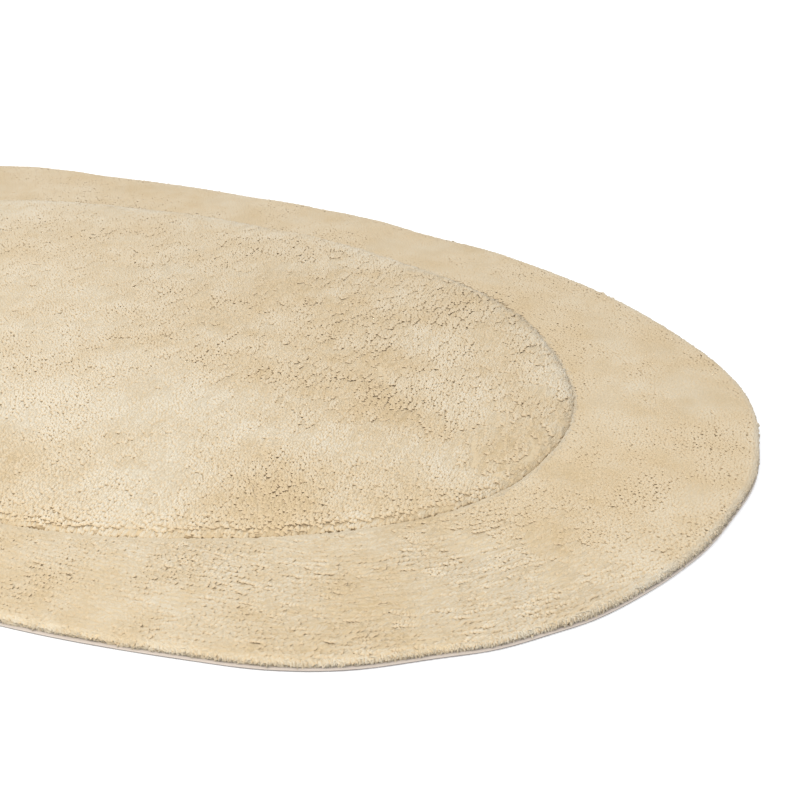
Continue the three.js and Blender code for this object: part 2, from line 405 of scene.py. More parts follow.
# The ground of the pile: its section from the middle of its underside out and up the rim, then its rings over
# the rim, over the border by their share of the way, over the crease and over the field
GROUND_COLUMNS = 360
GROUND_FOOT = [
    {"inset": 60, "height": CANVAS + GAP},
    {"inset": 5.4, "height": CANVAS + GAP},
    {"inset": 4.4, "height": HEM + GAP},
    {"inset": 2.3, "height": HEM + 1},
]
RIM_RINGS = (2.6, 5, 12, 20)
BORDER_RINGS = (0.25, 0.5, 0.75)
CREASE_RINGS = (-26, -12, -3.4, -1.6, -0.4, 1.2, 3.2, 6, 10, 18, 28)
FIELD_RINGS = 36

# How far the ground lies under the face of the pile, across the crease, and how near to the crease it has
# painted shade
GROUND_SECTION = [
    {"inset": -4, "under": 0.9},
    {"inset": -1.6, "under": 2},
    {"inset": 0.6, "under": 2},
    {"inset": 3, "under": 1.2},
    {"inset": 8, "under": 1},
]
CREASE_DARK = 2
GROUND_BUMPS = 0.25

# The columns round the canvas, and how far it puckers and from which height up
CANVAS_COLUMNS = 420
PUCKER = 0.25
PUCKER_FROM = 2

# One lock of cut pile that reaches 1 to each side: half the length of its ridge, and how far its root reaches
LOCK_RIDGE = 0.5
LOCK_ROOT = 0.86

# How much the shading of a lock follows the lock itself, and not the face of the pile
LOCK_SHADING = 0.32

# How fast the grain changes along, across and up a lock, so that it is drawn out into strands
STRAND_STRETCH = (0.22, 1.1, 0.3)

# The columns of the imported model's outline
PACKED_COLUMNS = 168

# The bearings that a row round an oval is measured over, and the length that every such row is counted to, so
# that its clumps lie beside those of the next row
ROW_BEARINGS = 3000
ROW_LENGTH = 4200

# The camera stands at a place over the floor, in the same plan, and looks along a heading from +Y.
CAMERA_PLACE = (1126.4, -980.7, 632)
CAMERA_HEADING = 34.61
CAMERA_DOWN = 26.59
PHOTO_PIXELS = 800
FOCAL_PIXELS = 1300
SENSOR_WIDTH = 36

# Cotton colours, as the shader takes them
IVORY = (0.70, 0.622, 0.49)
HONEY = (0.582, 0.442, 0.258)
# The locks' root colour, which paints shade low down between the locks
TAN = (0.64, 0.49, 0.305)
# The ground's colours are darker and browner than the locks', as painted shade where the ground shows between
# them
GROUND_LIGHT = (0.66, 0.53, 0.35)
GROUND_DARK = (0.58, 0.455, 0.28)
# Painted shade on the ground in the crease
GROUND_CREASE_SHADE = (0.3, 0.2, 0.1)
CANVAS_LIGHT = (0.53, 0.455, 0.395)
CANVAS_DARK = (0.45, 0.39, 0.34)
# Painted shade at the foot of the hem, standing in for its contact shadow on the floor
HEM_FOOT_SHADE = (0.11, 0.093, 0.083)

UPRIGHT = np.array([0, 0, 1])


def normalised(vectors):
    """Vectors made a unit long."""
    return vectors / np.linalg.norm(vectors, axis=-1, keepdims=True)


def fading(distance, reach):
    """A share that falls from 1 at no distance to 0 at the reach."""
    return np.clip(1 - distance / reach, 0, 1)


def table_at(rows, column, bearing):
    """One column of a table at any bearings, as a smooth curve through its rows that closes on itself."""
    at = np.array([row["bearing"] for row in rows], float)
    at = np.concatenate([at - 360, at, at + 360])
    value = np.tile([float(row[column]) for row in rows], 3)
    slope = np.zeros(len(at))
    slope[1:-1] = (value[2:] - value[:-2]) / (at[2:] - at[:-2])
    degrees = np.degrees(bearing)
    after = np.searchsorted(at, degrees, side="right")
    before = after - 1
    span = at[after] - at[before]
    u = (degrees - at[before]) / span
    ease = u * u * (3 - 2 * u)
    leave = u * (1 - u) ** 2 * span * slope[before]
    arrive = u * u * (u - 1) * span * slope[after]
    return value[before] + (value[after] - value[before]) * ease + leave + arrive


def section_at(rows, column, place, by="inset"):
    """One column of a table at some insets, or by whatever else its rows go, straight from row to row."""
    return np.interp(place, [row[by] for row in rows], [row[column] for row in rows])


def bearings(count):
    """The bearings of a ring of columns, from -180 to 180 degrees."""
    return -math.pi + (np.arange(count) + 0.5) * 2 * math.pi / count


def edge_points(oval, bearing, inset):
    """Points of an oval's edge at some bearings, moved inwards by inset along the edge's normal."""
    across = np.cos(bearing)
    along = np.sin(bearing)
    power = oval["power"]
    reach = (np.abs(across) ** power + np.abs(along) ** power) ** (-1 / power)
    point = np.stack([reach * across, reach * along], axis=-1)
    normal = normalised(np.sign(point) * np.abs(point) ** (power - 1) / oval["half"])
    out = table_at(oval["stray"], "out", bearing) - inset
    return oval["centre"] + point * oval["half"] + normal * out[..., None]


def nearest_edge(oval, places):
    """How far places lie inside an oval's edge, and the bearing and the inward normal of the edge there."""
    samples = 1440
    batch = 2000
    bearing = bearings(samples)
    edge = edge_points(oval, bearing, 0)
    inward = edge_points(oval, bearing, 1) - edge
    nearest = np.empty(len(places), int)
    for start in range(0, len(places), batch):
        away = places[start : start + batch, None, :] - edge
        nearest[start : start + batch] = (away**2).sum(axis=2).argmin(axis=1)
    inset = ((places - edge[nearest]) * inward[nearest]).sum(axis=1)
    return inset, bearing[nearest], inward[nearest]


def waves(places):
    """How far the low waves lift the pile at some places."""
    lift = np.zeros(places.shape[:-1])
    for wave in WAVES:
        heading = math.radians(wave["heading"])
        distance = places @ np.array([math.cos(heading), math.sin(heading)])
        lift += wave["height"] * np.sin(2 * math.pi * distance / wave["wavelength"] + wave["start"])
    return lift


def swells(places):
    """How far the swells lift the pile at some places."""
    lift = np.zeros(places.shape[:-1])
    for swell in SWELLS:
        away = np.linalg.norm(places - (swell["x"], swell["y"]), axis=-1) / swell["reach"]
        lift += swell["height"] * np.exp(-(away**2))
    return lift


def pile_top(places, rug_inset, field_inset, field_bearing):
    """Height of the top of the pile at some places."""
    depth = table_at(CREASE_STRAY, "depth", field_bearing)
    crisp = section_at(CREASE_SECTION, "height", field_inset)
    soft = section_at(CREASE_SECTION, "soft_height", field_inset)
    share = np.where(field_inset > 0, 1, BORDER_WAVES)
    drop = section_at(RIM_DROP, "drop", rug_inset)
    return soft + (crisp - soft) * depth + share * waves(places) + swells(places) - drop


def drift(places, size, seed):
    """Smooth noise from -1 to 1 that changes over about size, in millimetres."""
    cells = 256
    table = np.random.default_rng(seed).uniform(-1, 1, (cells, cells))
    cell = np.floor(places / size).astype(int)
    u = places / size - cell
    u = u * u * (3 - 2 * u)
    corner = [table[(cell[:, 0] + i) % cells, (cell[:, 1] + j) % cells] for i in (0, 1) for j in (0, 1)]
    low = corner[0] + (corner[1] - corner[0]) * u[:, 1]
    high = corner[2] + (corner[3] - corner[2]) * u[:, 1]
    return low + (high - low) * u[:, 0]


def clumps(places, size, seed):
    """The clump of about a size that each place belongs to: the way to its middle, how deep inside it the
    place is, from 0 to about 1, and a number from -1 to 1 of the clump's own."""
    places = places / size
    cells = 512
    margin = 0.08
    table = np.random.default_rng(seed).uniform(margin, 1 - margin, (cells, cells, 3))
    cell = np.floor(places).astype(int)
    nearest = np.full(len(places), np.inf)
    second = np.full(len(places), np.inf)
    middle = np.zeros_like(places)
    own = np.zeros(len(places))
    for i in (-1, 0, 1):
        for j in (-1, 0, 1):
            near = cell + (i, j)
            drawn = table[near[:, 0] % cells, near[:, 1] % cells]
            spot = near + drawn[:, :2]
            away = np.linalg.norm(places - spot, axis=1)
            closer = away < nearest
            second = np.where(closer, nearest, np.minimum(second, away))
            middle[closer] = spot[closer]
            own[closer] = drawn[closer, 2]
            nearest = np.minimum(nearest, away)
    return (middle - places) * size, second - nearest, (own - margin) / (0.5 - margin) - 1


# The plan's ovals stray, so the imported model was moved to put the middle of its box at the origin.
canvas_low, canvas_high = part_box("canvas_backing")
packed_middle = np.array((canvas_low + canvas_high) / 2)[:2] / MM
plan_edge = edge_points(RUG_EDGE, bearings(PACKED_COLUMNS), 0)
PLAN_SHIFT = packed_middle - (plan_edge.min(axis=0) + plan_edge.max(axis=0)) / 2


def to_metres(points):
    """Points of the plan, in millimetres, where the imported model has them, in metres."""
    moved = np.array(points, float)
    moved[..., :2] += PLAN_SHIFT
    return moved * MM


def with_height(places, height):
    """Places in the plan with a height, as points in metres."""
    return to_metres(np.column_stack([places, np.broadcast_to(height, len(places))]))


def finished(name, mesh, material):
    """A smoothly shaded piece of the rug from its finished mesh."""
    mesh.materials.append(material)
    mesh.polygons.foreach_set("use_smooth", [True] * len(mesh.polygons))
    piece = bpy.data.objects.new(name, mesh)
    bpy.context.scene.collection.objects.link(piece)
    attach(piece, "root")
    return piece


def ringed_body(name, rings, material, unshaded):
    """A closed body from rings of points that run from the middle of its underside, out and up, to the top's.
    Each ring has its share of its own colour, and the rest of it is painted shade."""
    bm = bmesh.new()
    columns = len(rings[0])
    column = bm.verts.layers.int.new("column")
    tip = bm.verts.layers.float.new("tip")
    bmesh.ops.create_circle(bm, cap_ends=True, cap_tris=True, segments=columns, radius=1)
    rim = [vert for vert in bm.verts if vert.is_boundary]
    for vert in bm.verts:
        vert[tip] = unshaded[0]
        if not vert.is_boundary:
            vert.co = Vector(rings[0].mean(axis=0))
    rim.sort(key=lambda vert: math.atan2(vert.co.y, vert.co.x))
    for index, vert in enumerate(rim):
        vert[column] = index
        vert.co = Vector(rings[0][index])
    edges = [edge for edge in bm.edges if edge.is_boundary]
    for points, share in zip(rings[1:], unshaded[1:]):
        grown = bmesh.ops.extrude_edge_only(bm, edges=edges)["geom"]
        for vert in grown:
            if isinstance(vert, bmesh.types.BMVert):
                vert.co = Vector(points[vert[column]])
                vert[tip] = share
        edges = [edge for edge in grown if isinstance(edge, bmesh.types.BMEdge) and edge.is_boundary]
    bmesh.ops.contextual_create(bm, geom=edges)
    cap = [face for face in bm.faces if len(face.verts) == columns]
    for vert in bmesh.ops.poke(bm, faces=cap)["verts"]:
        vert[tip] = unshaded[-1]
    bmesh.ops.recalc_face_normals(bm, faces=bm.faces)
    mesh = bpy.data.meshes.new(name)
    bm.to_mesh(mesh)
    bm.free()
    return finished(name, mesh, material)


def canvas_piece(material):
    """The woven canvas with its turned hem, which puckers a little along the edge."""
    bearing = bearings(CANVAS_COLUMNS)
    rings = []
    for row in HEM_SECTION:
        places = edge_points(RUG_EDGE, bearing, row["inset"])
        pucker = PUCKER * drift(places, size=14, seed=31) * (row["height"] > PUCKER_FROM)
        rings.append(with_height(places, row["height"] + pucker))
    canvas = ringed_body("canvas", rings, material, [row["unshaded"] for row in HEM_SECTION])
    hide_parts("canvas_backing")
    return canvas


def pile_ground(material):
    """The ground of the pile: the same form as the pile, set lower so that the locks stand out of it."""
    bearing = bearings(GROUND_COLUMNS)
    rings = []
    for row in GROUND_FOOT:
        rings.append(with_height(edge_points(RUG_EDGE, bearing, row["inset"]), row["height"]))
    places = [edge_points(RUG_EDGE, bearing, inset) for inset in RIM_RINGS]
    rim_inside = places[-1]
    crease_outside = edge_points(FIELD_EDGE, bearing, CREASE_RINGS[0])
    for share in BORDER_RINGS:
        places.append(rim_inside * (1 - share) + crease_outside * share)
    unshaded = [1] * (len(rings) + len(places))
    for inset in CREASE_RINGS:
        places.append(edge_points(FIELD_EDGE, bearing, inset))
        # Rings near the crease get painted shade instead of their own colour.
        unshaded.append(0 if abs(inset) < CREASE_DARK else 1)
    field_outside = places[-1]
    middle = np.array(FIELD_EDGE["centre"], float)
    for step in range(1, FIELD_RINGS):
        places.append(field_outside + (middle - field_outside) * step / FIELD_RINGS)
        unshaded.append(1)
    for ring in places:
        rug_inset, _, _ = nearest_edge(RUG_EDGE, ring)
        field_inset, field_bearing, _ = nearest_edge(FIELD_EDGE, ring)
        under = section_at(GROUND_SECTION, "under", field_inset)
        top = pile_top(ring, rug_inset, field_inset, field_bearing)
        rings.append(with_height(ring, top - under + GROUND_BUMPS * drift(ring, size=9, seed=41)))
    return ringed_body("pile_ground", rings, material, unshaded)


def lock_shape():
    """The points, normals and faces of one lock of cut pile: an open hip roof, 1 high and 1 to each side. The
    normals are a rounder lock's: they look less along it than across it, and a little upwards at its root."""
    bm = bmesh.new()
    bmesh.ops.create_cube(bm, size=2)
    low = [face for face in bm.faces if face.normal.z < -0.9]
    bmesh.ops.delete(bm, geom=low, context="FACES_ONLY")
    for side in (-1, 1):
        end = [vert for vert in bm.verts if vert.co.z > 0 and vert.co.x * side > 0]
        bmesh.ops.pointmerge(bm, verts=end, merge_co=Vector((LOCK_RIDGE * side, 0, 1)))
    for vert in bm.verts:
        if vert.co.z < 0:
            vert.co = Vector((vert.co.x * LOCK_ROOT, vert.co.y * LOCK_ROOT, 0))
    bm.verts.index_update()
    points = np.array([vert.co for vert in bm.verts])
    normals = np.where(points[:, 2:] > 0, points * (0.6, 1, 1), points * (0.6, 1, 0) + (0, 0, 0.35))
    faces = [[vert.index for vert in face.verts] for face in bm.faces]
    bm.free()
    return points, normalised(normals), faces


def in_directions(shape, along, across, up):
    """The points or normals of one shape, turned into the three directions of each of many locks."""
    return (
        shape[None, :, 2, None] * up[:, None, :]
        + shape[None, :, 0, None] * along[:, None, :]
        + shape[None, :, 1, None] * across[:, None, :]
    )


def repeated_mesh(name, points, faces):
    """A mesh of many copies of one shape's faces, from the points of each copy."""
    count, corners_each, _ = points.shape
    ordered = sorted(faces, key=len)
    corners = np.concatenate(ordered)[None, :] + np.arange(count)[:, None] * corners_each
    sizes = np.tile([len(face) for face in ordered], count)
    starts = np.concatenate([[0], np.cumsum(sizes)[:-1]])
    mesh = bpy.data.meshes.new(name)
    mesh.vertices.add(count * corners_each)
    mesh.vertices.foreach_set("co", to_metres(points.reshape(-1, 3)).astype(np.float32).ravel())
    mesh.loops.add(corners.size)
    mesh.loops.foreach_set("vertex_index", corners.ravel().astype(np.int32))
    mesh.polygons.add(len(sizes))
    mesh.polygons.foreach_set("loop_start", starts.astype(np.int32))
    mesh.update(calc_edges=True)
    return mesh


def mark_points(mesh, name, values):
    """An attribute on the points of a mesh, from a number or a vector for each."""
    kind, field = ("FLOAT_VECTOR", "vector") if values.ndim > 1 else ("FLOAT", "value")
    layer = mesh.attributes.new(name, kind, "POINT")
    layer.data.foreach_set(field, values.astype(np.float32).ravel())


def joined_locks(name, locks, material):
    """Many locks as one piece. Each runs from its root to its tip, with its longer side along a direction."""
    roots, tips, along, facing, half_length, half_width, tone = locks
    shape, shape_normals, faces = lock_shape()
    count = len(roots)
    axis = tips - roots
    up = normalised(axis)
    side = normalised(along - up * (along * up).sum(axis=1, keepdims=True))
    other = np.cross(up, side)
    sized = in_directions(shape, side * half_length[:, None], other * half_width[:, None], axis)
    mesh = repeated_mesh(name, roots[:, None, :] + sized, faces)
    own_normals = LOCK_SHADING * in_directions(shape_normals, side, other, facing)
    mark_points(mesh, "custom_normal", normalised(own_normals + (1 - LOCK_SHADING) * facing[:, None, :]))
    mark_points(mesh, "tone", np.repeat(tone, len(shape)))
    size = np.column_stack([half_length, half_width, np.linalg.norm(axis, axis=1)])
    strand = shape[None, :, :] * size[:, None, :] * STRAND_STRETCH
    mark_points(mesh, "strand", strand + np.random.default_rng(count).uniform(0, 90, (count, 1, 3)))
    # The height within each lock, by which its lower part is painted with shade
    mark_points(mesh, "tip", np.tile(shape[:, 2], count))
    piece = finished(name, mesh, material)
    return piece


def level(vectors):
    """Vectors of the plan as level vectors."""
    return np.column_stack([vectors, np.zeros(len(vectors))])


def unit(angle):
    """Level unit vectors at some angles."""
    return level(np.column_stack([np.cos(angle), np.sin(angle)]))


def dome(depth, shoulder):
    """The rounded height of a clump, 1 high from its edge to shoulder inwards, less about its mean."""
    u = np.clip(depth / shoulder, 0, 1)
    return np.sqrt(1 - (1 - u) ** 2) - DOME_MEAN


def roughness(light, kind):
    """How rough a kind of pile is at some places, where more light makes it smoother."""
    return np.clip(kind["usual"] - kind["smoother"] * light, kind["least"], kind["most"])


def patches(places):
    """How much lighter the patches make the pile at some places."""
    amount = np.zeros(len(places))
    for patch in PATCHES:
        away = (places - (patch["x"], patch["y"])) / patch["reach"]
        amount += patch["light"] * np.exp(-(away**2).sum(axis=1))
    return amount


def partings(places):
    """How deep the pile parts at some places, from 0 to 1, and the way that its locks lean there."""
    closest = 0.3
    depth = np.zeros(len(places))
    away = np.zeros_like(places)
    for line in PARTINGS:
        for start, end in zip(np.array(line[:-1], float), np.array(line[1:], float)):
            share = np.clip((places - start) @ (end - start) / ((end - start) @ (end - start)), 0, 1)
            offset = places - start - share[:, None] * (end - start)
            distance = np.linalg.norm(offset, axis=1)
            here = fading(distance, PARTING_REACH)
            deeper = here > depth
            depth[deeper] = here[deeper]
            away[deeper] = (offset / np.maximum(distance, closest)[:, None])[deeper]
    return depth, away


def pile_heading(places):
    """The way that the pile is brushed at some places, as an angle from +X."""
    return np.radians(BRUSHED_HEADING + places @ BRUSHED_TURN)


def field_facing(inward, inset):
    """The way that the field's face looks, from its slope inwards from the crease, made half as steep."""
    slope = section_at(CREASE_SECTION, "height", inset + 1) - section_at(CREASE_SECTION, "height", inset - 1)
    facing = np.column_stack([-inward * (slope / 2)[:, None], np.ones(len(inset))])
    return normalised(normalised(facing) + UPRIGHT)


def field_row_ways():
    """The ways along and across the field's rows."""
    heading = math.radians(FIELD_ROW_HEADING)
    row = np.array([math.cos(heading), math.sin(heading)])
    return row, np.array([-row[1], row[0]])


def field_rows(random):
    """Places in rows across the field and a little past it, and where each is along and across the rows."""
    reach = LENGTH * 0.62
    margin = 20
    along, across = np.meshgrid(np.arange(-reach, reach, FIELD_STEP), np.arange(-reach, reach, FIELD_ROW))
    along[1::2] += FIELD_STEP / 2
    set_in = np.column_stack([along.ravel(), across.ravel()])
    set_in += random.uniform(-LOOSE, LOOSE, set_in.shape) * (FIELD_STEP, FIELD_ROW)
    row, beside = field_row_ways()
    places = set_in[:, :1] * row + set_in[:, 1:] * beside
    near = (np.abs(places - FIELD_EDGE["centre"]) < np.array(FIELD_EDGE["half"]) + margin).all(axis=1)
    return places[near], set_in[near]


def field_mottling(places):
    """How much lighter or darker than usual the field is at some places, apart from its patches."""
    mottle = section_at(FIELD_MOTTLE, "mottle", places[:, 0], by="x")
    broad = drift(places, size=95, seed=57) + drift(places, size=38, seed=59)
    return mottle * broad + 0.15 * drift(places, size=15, seed=60)


def field_roughness(places, inset, bearing, texture, light):
    """How rough the field is at some places: less on its near side, and more along its edge and far end."""
    far = np.clip(np.cos(bearing - math.radians(ROUGH_BEARING)), 0, 1) * fading(inset, ROUGH_REACH)
    rough = texture * roughness(light, FIELD_ROUGH) + 0.4 * far
    rough *= section_at(FIELD_ACROSS, "share", places[:, 1], by="y")
    return rough + 0.25 * fading(inset, SHOULDER_ROUGH)


def field_locks():
    """How the field's locks stand: in rows across the rug, drawn together into long clumps."""
    random = np.random.default_rng(11)
    row, beside = field_row_ways()
    places, set_in = field_rows(random)
    inset, bearing, inward = nearest_edge(FIELD_EDGE, places)
    inside = inset > SHOULDER_INSET + 0.5 * drift(places, size=12, seed=58)
    places, set_in, inset, bearing, inward = [x[inside] for x in (places, set_in, inset, bearing, inward)]
    count = len(places)
    patched = patches(places)
    light = field_mottling(places) + patched
    texture = section_at(FIELD_TEXTURE, "texture", places[:, 0], by="x")
    rough = field_roughness(places, inset, bearing, texture, light)
    sway = [5 * drift(places, size=33, seed=55), 4 * drift(places, size=26, seed=56)]
    to_middle, depth, own = clumps(set_in + np.column_stack(sway), FIELD_CLUMP, seed=52)
    turn = pile_heading(places) + math.radians(14) * drift(places, size=60, seed=51) + 0.12 * own
    turn += random.normal(0, 0.16, count)
    pull = CLUMP_PULL * rough[:, None] * (0.2 * to_middle[:, :1] * row + to_middle[:, 1:] * beside)
    lean = unit(turn)[:, :2] * (FIELD_LEAN + drift(places, size=45, seed=53) + 0.5 * own)[:, None]
    lean *= np.clip(inset / SHOULDER_LEAN, 0.2, 1)[:, None]
    parting, away = partings(places)
    pull += PARTING_PULL * parting[:, None] * away
    pull -= np.minimum(SHOULDER_OUT * fading(inset, SHOULDER_PULL), inset - 0.2)[:, None] * inward
    top = pile_top(places, np.full(count, PAST_RIM), inset, bearing)
    top += rough * (FIELD_RELIEF * dome(depth, 0.3) + 0.2 * own + random.normal(0, 0.1, count))
    top += 0.5 * drift(places, size=38, seed=54) - PARTING_DEPTH * parting
    roots = np.column_stack([places, top - FIELD_STAND])
    tips = np.column_stack([places + pull + lean, top])
    half_length = random.uniform(*FIELD_LOCK["half_length"], count)
    half_width = random.uniform(*FIELD_LOCK["half_width"], count)
    half_width *= section_at(FIELD_WIDTH, "width", places[:, 0], by="x")
    speckle = 0.12 * own + random.uniform(-TONE_SPREAD, TONE_SPREAD, count)
    tone = FIELD_TONE - 0.12 * texture + texture * speckle + light
    # Near the crease the field's locks are painted darker, as shade along the crease.
    tone += 0.4 * patched - 0.1 * fading(inset, SHOULDER_DARK)
    return roots, tips, unit(turn), field_facing(inward, inset), half_length, half_width, tone


def oval_rows(oval, face, runs, step, loose, random):
    """Places in rows round an oval: the bearing and the run of each, and how far along its row it stands.
    Loose is how far they stray from their row, as a share of the rows' distance."""
    dense = bearings(ROW_BEARINGS)
    found = []
    for run in runs:
        line = edge_points(oval, dense, section_at(face, "inset", run, by="run"))
        pieces = np.linalg.norm(np.roll(line, -1, axis=0) - line, axis=1)
        length = np.concatenate([[0], np.cumsum(pieces)])
        stops = np.arange(random.uniform(0, step), length[-1], step)
        stops += random.uniform(-0.4, 0.4, len(stops)) * step
        bearing = np.interp(stops, length, np.append(dense, dense[0] + 2 * math.pi))
        found.append(np.column_stack([bearing, np.full(len(stops), run), stops * ROW_LENGTH / length[-1]]))
    found = np.concatenate(found)
    found[:, 1] += random.uniform(-loose, loose, len(found)) * np.interp(found[:, 1], runs, np.gradient(runs))
    return found.T


def along_edge(inward):
    """The way along an oval's edge, as an angle, from its inward normal."""
    return np.arctan2(inward[:, 0], -inward[:, 1])


def swayed(places, stop, run, seed):
    """Places counted along and across their rows, swayed so that the clumps aren't in straight lines."""
    along = stop + 3 * drift(places, size=30, seed=seed)
    across = run + 1.5 * drift(places, size=22, seed=seed + 1)
    return np.column_stack([along, across])


def stood(surface, tilt, inward, relief, shift_along, shift_across, row_way):
    """The roots and tips of locks that stand on a tilted face, raised by their relief, and its shading."""
    tilt = np.radians(tilt)[:, None]
    facing = UPRIGHT * np.cos(tilt) - level(inward) * np.sin(tilt)
    climbing = UPRIGHT * np.sin(tilt) + level(inward) * np.cos(tilt)
    raised = facing * relief[:, None]
    roots = surface - facing * BORDER_STAND + raised
    tips = surface + raised + climbing * shift_across[:, None] + row_way * shift_along[:, None]
    return roots, tips, normalised(facing * np.maximum(np.cos(tilt), 0) + UPRIGHT)


def border_mottling(places):
    """How much lighter or darker than usual the border is at some places, apart from its patches."""
    broad = 0.08 * drift(places, size=85, seed=68) + 0.16 * drift(places, size=34, seed=69)
    return broad + 0.14 * drift(places, size=15, seed=70)


def tufting_rows(places, inset, tilt, texture):
    """How clearly the rows of tufts show at some places, and where each place is in its row, as an angle."""
    clear = 0.45 + 0.6 * drift(places, size=50, seed=64) + 0.5 * drift(places, size=12, seed=79)
    rows = np.minimum(texture, 1) ** 2 * np.clip(clear, 0, 1) * (tilt < RIM_TILT)
    return rows, 2 * math.pi * (inset - TUFTING_START) / TUFTING_ROW


def border_locks():
    """How the border's locks stand: in rows that follow the rug's edge, over the rim and inwards."""
    random = np.random.default_rng(12)
    runs = np.concatenate([np.arange(*RIM_RUNS, RIM_ROW), np.arange(*BORDER_RUNS, BORDER_ROW)])
    bearing, run, stop = oval_rows(RUG_EDGE, BORDER_FACE, runs, BORDER_STEP, LOOSE, random)
    columns = ("inset", "drop", "tilt")
    inset, drop, tilt = [section_at(BORDER_FACE, column, run, by="run") for column in columns]
    places = edge_points(RUG_EDGE, bearing, inset)
    inward = edge_points(RUG_EDGE, bearing, 1) - edge_points(RUG_EDGE, bearing, 0)
    field_inset, field_bearing, _ = nearest_edge(FIELD_EDGE, places)
    outside = field_inset < BORDER_STOP - table_at(CREASE_STRAY, "gap", field_bearing)
    kept = (run, stop, inset, drop, tilt, places, inward, field_inset, field_bearing)
    run, stop, inset, drop, tilt, places, inward, field_inset, field_bearing = [x[outside] for x in kept]
    count = len(places)
    row_turn = along_edge(inward)
    patched = patches(places)
    light = border_mottling(places) + patched
    texture = section_at(BORDER_LOOK, "texture", places[:, 1], by="y")
    rough = texture * roughness(light, BORDER_ROUGH) + RIM_ROUGH * (tilt > RIM_TILT)
    to_middle, depth, own = clumps(swayed(places, stop, run, seed=66), BORDER_CLUMP, seed=62)
    in_line = (tilt > IN_LINE_TILT) | (own < 2 * section_at(IN_LINE, "share", places[:, 1], by="y") - 1)
    turn = np.where(in_line, row_turn, pile_heading(places) + BORDER_TURN)
    turn += math.radians(14) * drift(places, size=50, seed=61)
    turn += 0.1 * own + random.normal(0, 0.12, count) * (1 + tilt / 25)
    rows, in_row = tufting_rows(places, inset, tilt, texture)
    shift_along = 0.07 * rough * to_middle[:, 0] + 1.2 + 0.8 * drift(places, size=40, seed=63)
    shift_across = CLUMP_PULL * rough * to_middle[:, 1] - TUFTING_PULL * rows * np.sin(in_row)
    relief = TUFTING_RELIEF * rows * np.cos(in_row) + BORDER_RELIEF * dome(depth, 0.35) + 0.15 * own
    relief = rough * relief + 0.25 * drift(places, size=24, seed=65) + rough * random.normal(0, 0.08, count)
    stray_reach = random.uniform(*STRAY_REACH, count)
    relief += stray_reach * (random.uniform(0, 1, count) < STRAY_LOCKS) * (tilt > RIM_TILT)
    top = pile_top(places, np.full(count, PAST_RIM), np.minimum(field_inset, CREASE_LIP), field_bearing)
    low = HEM + GAP
    top -= drop * (top - low) / (BORDER - low)
    surface = np.column_stack([places, top])
    roots, tips, facing = stood(surface, tilt, inward, relief, shift_along, shift_across, unit(turn))
    half_length = random.uniform(*BORDER_LOCK["half_length"], count)
    half_length *= section_at(RIM_LOCKS, "length", tilt, by="tilt")
    half_width = random.uniform(*BORDER_LOCK["half_width"], count)
    half_width *= section_at(RIM_LOCKS, "width", tilt, by="tilt")
    half_width *= section_at(BORDER_LOOK, "width", places[:, 1], by="y")
    hanging = np.clip(tilt / RIM_TILT - 1, 0, 1)[:, None]
    askew = unit(row_turn) * random.normal(0, 0.3, count)[:, None]
    along = unit(turn) * (1 - hanging) + (UPRIGHT + level(inward) * 0.3 + askew) * hanging
    speckle = 0.1 * own + random.uniform(-TONE_SPREAD, TONE_SPREAD, count)
    tone = BORDER_TONE - 0.25 * fading(texture, 1) + texture * speckle + light + 0.3 * patched
    # Painted light: locks are lighter along the crests of the tufting rows, and the rim's tilted locks
    # lighter still, against the shade on its side.
    tone += 0.1 * rows * np.cos(in_row) + 0.3 * np.clip(tilt / 60, 0, 1)
    return roots, tips, along, facing, half_length, half_width, tone


def crease_locks():
    """How the locks on the border's side of the crease stand, in rows that follow it."""
    random = np.random.default_rng(13)
    runs = np.arange(*CREASE_RUNS, CREASE_ROW)
    bearing, run, stop = oval_rows(FIELD_EDGE, CREASE_FACE, runs, BORDER_STEP, CREASE_LOOSE, random)
    edge = edge_points(FIELD_EDGE, bearing, 0)
    inward = edge_points(FIELD_EDGE, bearing, 1) - edge
    strays = 0.8 * drift(edge, size=19, seed=71) + 0.5 * drift(edge, size=8, seed=78)
    inset, tilt = [section_at(CREASE_FACE, column, run, by="run") for column in ("inset", "tilt")]
    inset += strays * fading(np.abs(run), 8) - table_at(CREASE_STRAY, "gap", bearing) - 0.3
    places = edge_points(FIELD_EDGE, bearing, inset)
    count = len(places)
    tilt = tilt * (0.6 + 0.4 * table_at(CREASE_STRAY, "depth", bearing))
    row_turn = along_edge(inward)
    light = 0.1 * drift(places, size=34, seed=69) + patches(places)
    rough = roughness(light, CREASE_ROUGH)
    to_middle, depth, own = clumps(swayed(places, stop, run, seed=73), BORDER_CLUMP, seed=75)
    turn = row_turn + math.radians(25) * drift(places, size=20, seed=76)
    turn += 0.1 * own + random.normal(0, 0.2, count)
    shift_along = 0.1 * to_middle[:, 0] * rough + 0.8 * drift(places, size=30, seed=77)
    shift_across = 0.3 * to_middle[:, 1] * rough
    relief = CREASE_RELIEF * dome(depth, 0.3) + 0.15 * own + random.normal(0, 0.1, count)
    top = pile_top(places, np.full(count, PAST_RIM), np.minimum(inset, CREASE_LIP), bearing)
    surface = np.column_stack([places, top])
    roots, tips, facing = stood(surface, tilt, inward, rough * relief, shift_along, shift_across, unit(turn))
    half_length = random.uniform(*CREASE_LOCK["half_length"], count)
    half_width = random.uniform(*CREASE_LOCK["half_width"], count)
    tone = CREASE_TONE + 0.06 * own + random.uniform(-TONE_SPREAD / 2, TONE_SPREAD / 2, count) + light
    return roots, tips, unit(turn), facing, half_length, half_width, tone


